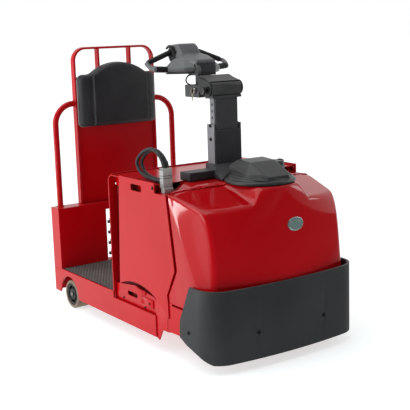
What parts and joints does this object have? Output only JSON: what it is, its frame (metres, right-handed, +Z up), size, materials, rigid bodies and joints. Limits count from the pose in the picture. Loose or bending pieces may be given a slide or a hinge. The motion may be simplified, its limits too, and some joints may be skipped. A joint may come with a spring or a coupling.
{
  "type": "stand-up battery tow tractor",
  "caption": "Compact stand-up electric tow tractor: rear platform with padded backrest hoop, battery bay, glossy hood with wrap-round bumper, handle on an upright column, pin coupler behind.",
  "frame": {"origin": "on the floor, under the middle of the whole machine", "axes": "+X forward towards the bumper, +Y to the driver's left, +Z up"},
  "size_m": [1.6319, 0.86, 1.4118],
  "materials": {
    "red_paint": "gloss powder coat",
    "red_hood": "high gloss",
    "floor_rubber": "ribbed, matt",
    "battery_block": "matt",
    "moulded_cap": "fine grained",
    "charcoal_steel": "satin",
    "grey_steel": "satin",
    "connector_plastic": "satin",
    "lead_rubber": "matt",
    "cushion_vinyl": "grained vinyl",
    "coupler_iron": "black",
    "bright_steel": "zinc plated",
    "drive_tyre_rubber": "matt",
    "load_tyre_compound": "smooth compound"
  },
  "bodies": {
    "chassis": {"right_side_sill": "red_paint", "left_side_sill": "red_paint", "right_battery_panel": "red_paint", "left_battery_panel": "red_paint", "battery_gates": "red_paint", "platform_plate": "red_paint", "floor_mat": "floor_rubber", "rear_box": "red_paint", "bulkhead": "red_paint", "battery_tray": "red_paint", "battery": "battery_block", "battery_cover": "red_paint", "front_frame": "red_paint", "hood": "red_hood", "motor_cap": "moulded_cap", "bumper": "charcoal_steel", "column_base": "charcoal_steel", "column_sleeve": "charcoal_steel", "sleeve_cheeks": "grey_steel", "connector": "connector_plastic", "battery_leads": "lead_rubber", "backrest_frame": "red_paint", "backrest_cushion": "cushion_vinyl", "right_grab_rail": "red_paint", "left_grab_rail": "red_paint", "tow_coupler": "coupler_iron", "rear_axles": "grey_steel"},
    "steering_column": {"column_post": "charcoal_steel", "post_rails": "grey_steel", "column_head": "charcoal_steel", "head_end_caps": "moulded_cap", "key_console": "moulded_cap", "console_controls": "moulded_cap"},
    "steering_handle": {"handle_hub": "coupler_iron", "handle_body": "grey_steel", "handle_grips": "lead_rubber"},
    "drive_unit": {"drive_gearbox": "charcoal_steel", "traction_motor": "charcoal_steel"},
    "drive_wheel": {"drive_tyre": "drive_tyre_rubber", "drive_hub": "coupler_iron"},
    "right_load_wheel": {"right_wheel_tyre": "load_tyre_compound", "right_wheel_hub": "coupler_iron"},
    "left_load_wheel": {"left_wheel_tyre": "load_tyre_compound", "left_wheel_hub": "coupler_iron"},
    "coupler_pin": {"tow_pin": "bright_steel"}
  },
  "joints": [
    {"name": "right_load_wheel_spin", "type": "hinge", "parent": "chassis", "child": "right_load_wheel", "pos_m": [-0.568, -0.369, 0.077], "axis": [0, 1, 0], "continuous": true},
    {"name": "left_load_wheel_spin", "type": "hinge", "parent": "chassis", "child": "left_load_wheel", "pos_m": [-0.568, 0.369, 0.077], "axis": [0, 1, 0], "continuous": true},
    {"name": "drive_steer", "type": "hinge", "parent": "chassis", "child": "drive_unit", "pos_m": [0.594, 0, 0.3], "axis": [0, 0, 1], "range_deg": [-75, 75]},
    {"name": "drive_wheel_spin", "type": "hinge", "parent": "drive_unit", "child": "drive_wheel", "pos_m": [0.594, 0, 0.127], "axis": [0, 1, 0], "continuous": true},
    {"name": "column_height", "type": "slide", "parent": "chassis", "child": "steering_column", "axis": [0, 0, 1], "range_m": [-0.066, 0.033]},
    {"name": "handle_steer", "type": "hinge", "parent": "steering_column", "child": "steering_handle", "pos_m": [0.165, 0, 1.262], "axis": [0, 0, 1], "range_deg": [-75, 75]},
    {"name": "tow_pin_lift", "type": "slide", "parent": "chassis", "child": "coupler_pin", "axis": [0, 0, 1], "range_m": [0, 0.22]}
  ],
  "couplings": [
    {"joint": "handle_steer", "follows": "drive_steer", "ratio": 1}
  ]
}
